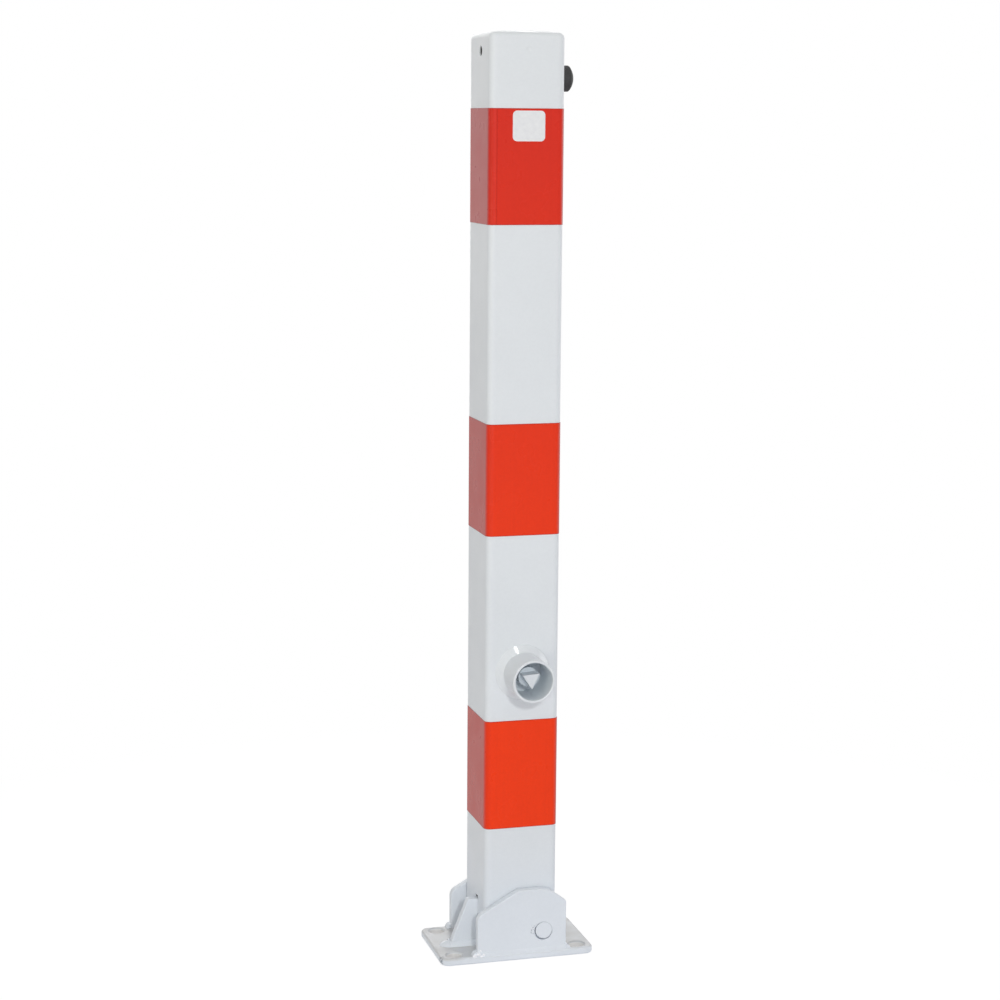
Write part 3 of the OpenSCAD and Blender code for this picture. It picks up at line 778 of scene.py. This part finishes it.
def add_part(bm, part):
    """Moves the faces of one bmesh into another."""
    carrier = bpy.data.meshes.new("bead")
    part.to_mesh(carrier)
    part.free()
    bm.from_mesh(carrier)
    bpy.data.meshes.remove(carrier)


def straight_bead(bm, start, run, steps, across, up, belly, height, seed):
    """Adds one straight bead that starts at a corner point and runs along a vector."""
    part = bmesh.new()
    wire = bead_profile(part, across, up, start, belly)
    bmesh.ops.spin(
        part, geom=wire, cent=(0, 0, 0), axis=(0, 0, 1), angle=0, steps=steps, dvec=run / steps,
        use_duplicate=False,
    )
    bmesh.ops.holes_fill(part, edges=[e for e in part.edges if e.is_boundary], sides=0)
    direction = run.normalized()
    wander(part, lambda co: co.dot(direction), height, RIPPLE_HEIGHT, seed)
    add_part(bm, part)


print("bead helpers are ready")

# %% Lay the beads at the ears' ends
ear_low, ear_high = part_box("front_ear")
rear_low, rear_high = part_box("rear_ear")
END_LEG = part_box("ear_end_welds")[1].x - ear_high.x
bm = bmesh.new()
for number, (low, high) in enumerate(((ear_low, ear_high), (rear_low, rear_high))):
    depth = high.y - low.y - 0.6 * MM
    for side, x in ((-1, low.x), (1, high.x)):
        straight_bead(
            bm, Vector((x, low.y + 0.3 * MM, plate_top)), Vector((0, depth, 0)), 8,
            Vector((side * END_LEG, 0, 0)), Vector((0, 0, END_LEG)),
            belly=0.19 * END_LEG, height=0.25 * MM, seed=number + side,
        )
end_beads = finish_piece(bm, "ear_end_beads", "base", weld_coat, crease=60)
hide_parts("ear_end_welds")
print("end beads", len(end_beads.data.polygons), "faces")

# %% [markdown]
# ## The keeper plate's bead
# It runs straight along both sides of the plate and turns round its left end. The turn is the
# same profile, spun by half a circle and stretched to the left, because the welder let the
# pool grow into a broad nose there.

# %% Lay the keeper plate's bead
keeper_low, keeper_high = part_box("keeper_plate")
side_low, side_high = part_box("keeper_weld")
KEEPER_LEG = side_high.z - plate_top
NOSE_STRETCH = 1.25
bm = bmesh.new()
side_start = side_low.x - 0.5 * MM
for side, y in ((-1, keeper_low.y), (1, keeper_high.y)):
    straight_bead(
        bm, Vector((side_start, y, plate_top)), Vector((side_high.x - side_start, 0, 0)), 24,
        Vector((0, side * KEEPER_LEG, 0)), Vector((0, 0, KEEPER_LEG)),
        belly=0.12 * KEEPER_LEG, height=0.35 * MM, seed=5 + side,
    )
keeper_end = Vector((keeper_low.x, (keeper_low.y + keeper_high.y) / 2, plate_top))
turn_at = keeper_end + Vector((0.8 * MM, 0, 0))
nose = bmesh.new()
nose_leg = Vector((0, (keeper_high.y - keeper_low.y) / 2 + KEEPER_LEG, 0))
wire = bead_profile(nose, nose_leg, Vector((0, 0, KEEPER_LEG)), turn_at, 0.9 * MM, 13, 0.3 * MM)
bmesh.ops.spin(
    nose, geom=wire, cent=turn_at, axis=(0, 0, 1), angle=math.pi, steps=24, use_duplicate=False,
)
bmesh.ops.remove_doubles(nose, verts=nose.verts, dist=SAME_POINT)
bmesh.ops.scale(nose, verts=nose.verts, vec=(NOSE_STRETCH, 1, 1), space=Matrix.Translation(-keeper_end))
wander(nose, lambda co: co.x + co.y, 0.3 * MM, 0.05 * MM, 9)
add_part(bm, nose)
keeper_beads = finish_piece(bm, "keeper_beads", "base", weld_coat, crease=60)
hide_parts("keeper_weld")
print("keeper beads", len(keeper_beads.data.polygons), "faces")

# %% [markdown]
# ## Seams along the ears' feet
# Each ear's outer side stands a millimetre inside the plate's edge, and a slim seam fills that
# step over the whole length. It is the same straight bead with a tall, shallow profile.
# Spatter lies where the front seam starts, on the left, and is made of a few squashed
# icospheres. They are painted near white, whiter than the coat, as a painted highlight.

# %% Lay the foot seams and the spatter
# Painted highlight: the drops are painted near white, whiter than the coat.
DROP_GLINT_PALE = (0.98, 0.98, 1.0)
DROP_GLINT_DEEP = (0.93, 0.94, 0.98)


def glint_painted_drops(name):
    """Drops of weld metal under thin paint, glossier than the rest, painted near white as a painted
    highlight.
    """
    f = Finish(name, 0.36, specular=0.5)
    f.colour(f.mix(f.remap(f.noise(300.0), 0.3, 0.7, 0.0, 1.0), DROP_GLINT_DEEP, DROP_GLINT_PALE))
    return f.mat


base_low, base_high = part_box("base_plate")
FOOT_RISE = 3.4 * MM
FOOT_DROP = 0.9 * MM
bm = bmesh.new()
for side, y, edge in ((-1, ear_low.y, base_low.y), (1, rear_high.y, base_high.y)):
    depth = abs(edge - y) - 0.45 * MM
    start = (ear_low if side < 0 else rear_low).x + 1 * MM
    straight_bead(
        bm, Vector((start, y, plate_top)), Vector((ear_high.x - 1 * MM - start, 0, 0)), 60,
        Vector((0, side * depth, -FOOT_DROP)), Vector((0, 0, FOOT_RISE)),
        belly=0.25 * MM, height=0.16 * MM, seed=20 + side,
    )
seams = finish_piece(bm, "ear_foot_seams", "base", weld_coat, crease=60)

# The place along X, the height and the radius of each drop, in millimetres.
SPATTER = [
    (-37.2, 12.3, 1.0), (-42.3, 7.2, 2.0), (-33.8, 8.0, 1.3), (-38.7, 8.6, 1.9), (-36.0, 6.8, 1.2),
]
bm = bmesh.new()
for x, z, size in SPATTER:
    drop = bmesh.ops.create_icosphere(bm, subdivisions=3, radius=size * MM)["verts"]
    bmesh.ops.scale(bm, verts=drop, vec=(1.15, 0.55, 0.9))
    bmesh.ops.translate(bm, verts=drop, vec=(x * MM, base_low.y + (0.56 * size + 0.02) * MM, z * MM))
bright = glint_painted_drops("spatter_painted_glint")
spatter = finish_piece(bm, "weld_spatter", "base", bright, crease=60)
print("seams", len(seams.data.polygons), "faces, spatter", len(spatter.data.polygons), "faces")

# %% [markdown]
# ## The bead round the collar
# The collar's bead is the most visible weld: smooth, even and glossier than the rest. A
# profile with a straight slope is spun once round the collar's axis, because on a slope the
# overhead lamp draws one short bright line at the upper left, as in the picture, and a round
# bulge would shrink that line to a dot. Then it wanders like the others, only less.

# %% Spin the collar's bead
ring_low, ring_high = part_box("collar_weld")
RING_LEG = (ring_high.x - ring_low.x) / 2 - COLLAR_RADIUS
bm = bmesh.new()
foot = collar_axis + Vector((COLLAR_RADIUS, post_low.y, 0))
wire = bead_profile(bm, Vector((RING_LEG, 0, 0)), Vector((0, -RING_LEG, 0)), foot, 0.0, 13)
bmesh.ops.spin(
    bm, geom=wire, cent=collar_axis, axis=(0, 1, 0), angle=2 * math.pi, steps=160, use_merge=True,
)
bmesh.ops.remove_doubles(bm, verts=bm.verts, dist=SAME_POINT)


def round_collar(place):
    """Distance along the bead, measured at the collar's outer radius."""
    return math.atan2(place.x - collar_axis.x, place.z - collar_axis.z) * COLLAR_RADIUS


wander(bm, round_collar, 0.10 * MM, 0.03 * MM, 3)
ring = finish_piece(bm, "collar_bead", "post", glossy_coat, crease=60)
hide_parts("collar_weld")
print("collar bead", len(ring.data.polygons), "faces, leg", round(RING_LEG * 1000, 2), "mm")

# %% [markdown]
# ## A blank label
# A small white label sits on the top band: a thin square of vinyl with round corners, cut
# from a plate with its upright edges bevelled, and pressed flat on the film.

# %% Press on the blank label
LABEL_W = 30 * MM
LABEL_H = 27 * MM
LABEL_T = 0.12 * MM
LABEL_CORNER = 4 * MM
VINYL_PALE = (0.86, 0.86, 0.86)
VINYL_DEEP = (0.80, 0.80, 0.81)
label_at = Vector((0.0053, band_low.y, 0.7735))


def vinyl(name):
    """Thin white vinyl with a faint grain."""
    f = Finish(name, 0.28, specular=0.45)
    f.colour(f.mix(f.remap(f.noise(260.0, 3.0), 0.3, 0.7, 0.0, 1.0), VINYL_DEEP, VINYL_PALE))
    f.relief(f.bump(f.noise(600.0, 2.0), 0.01 * MM, 0.5))
    return f.mat


bm = bmesh.new()
bmesh.ops.create_cube(bm, size=1.0)
bmesh.ops.scale(bm, verts=bm.verts, vec=(LABEL_W, LABEL_T, LABEL_H))
upright = [e for e in bm.edges if abs(e.verts[0].co.y - e.verts[1].co.y) > LABEL_T / 2]
bmesh.ops.bevel(
    bm, geom=upright, offset=LABEL_CORNER, offset_type="OFFSET", segments=8, profile=0.5,
    affect="EDGES", clamp_overlap=True, material=-1,
)
bmesh.ops.translate(bm, verts=bm.verts, vec=label_at - Vector((0, LABEL_T / 2, 0)))
label = finish_piece(bm, "blank_label", "post", vinyl("white_vinyl"))
print("blank label", len(label.data.polygons), "faces")

# %% [markdown]
# ## Keep the sizes
# The box round the dressed model is printed, so that it can be held against the frame's own box.
# The dressed model must stay inside the frame's own box.

# %% Print the dressed box
low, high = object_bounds()
print("dressed box", [round(x, 4) for x in (*low, *high)])
